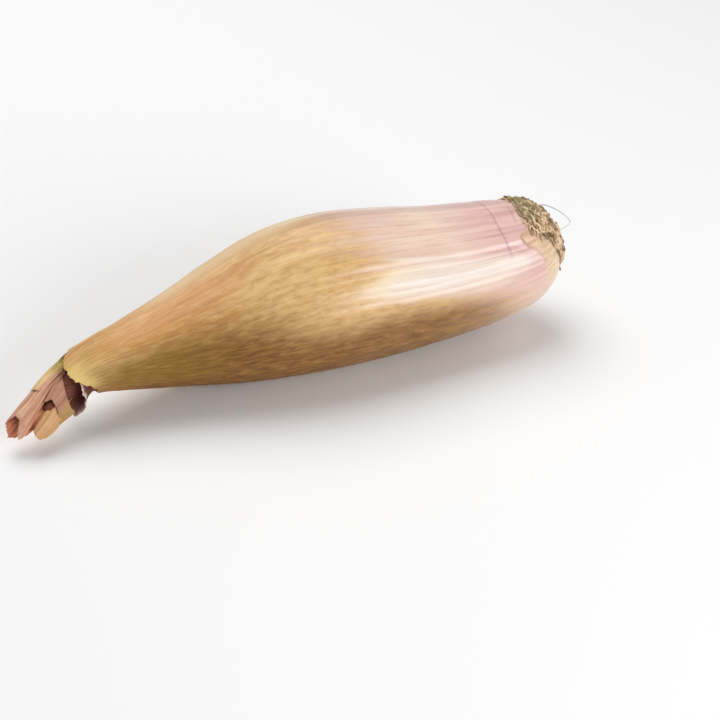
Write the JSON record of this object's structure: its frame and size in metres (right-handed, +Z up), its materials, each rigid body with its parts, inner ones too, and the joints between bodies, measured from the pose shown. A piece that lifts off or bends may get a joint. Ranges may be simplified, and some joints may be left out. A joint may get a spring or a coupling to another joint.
{
  "type": "shallot",
  "caption": "Banana shallot lying on its belly, with a golden-pink papery skin, a slanted crown of dry roots and a torn neck of dried leaf bases.",
  "frame": {"origin": "on the surface the shallot lies on, below the middle of the whole thing", "axes": "+X runs along the bulb from the dried neck to the root end, +Z is up, and -Y is the side seen in the usual view"},
  "size_m": [0.1588, 0.0421, 0.0422],
  "materials": {
    "bulb_skin": "satin papery onion skin over firm flesh",
    "dry_root": "matt, corky and fibrous",
    "inner_skin": "matt dried inner skin with a pale torn rim",
    "dry_leaf": "matt, fibrous and creased"
  },
  "bodies": {
    "root": {"bulb": "bulb_skin", "root_crown": "dry_root", "inner_sheath": "inner_skin", "dry_leaves": "dry_leaf"}
  },
  "joints": []
}
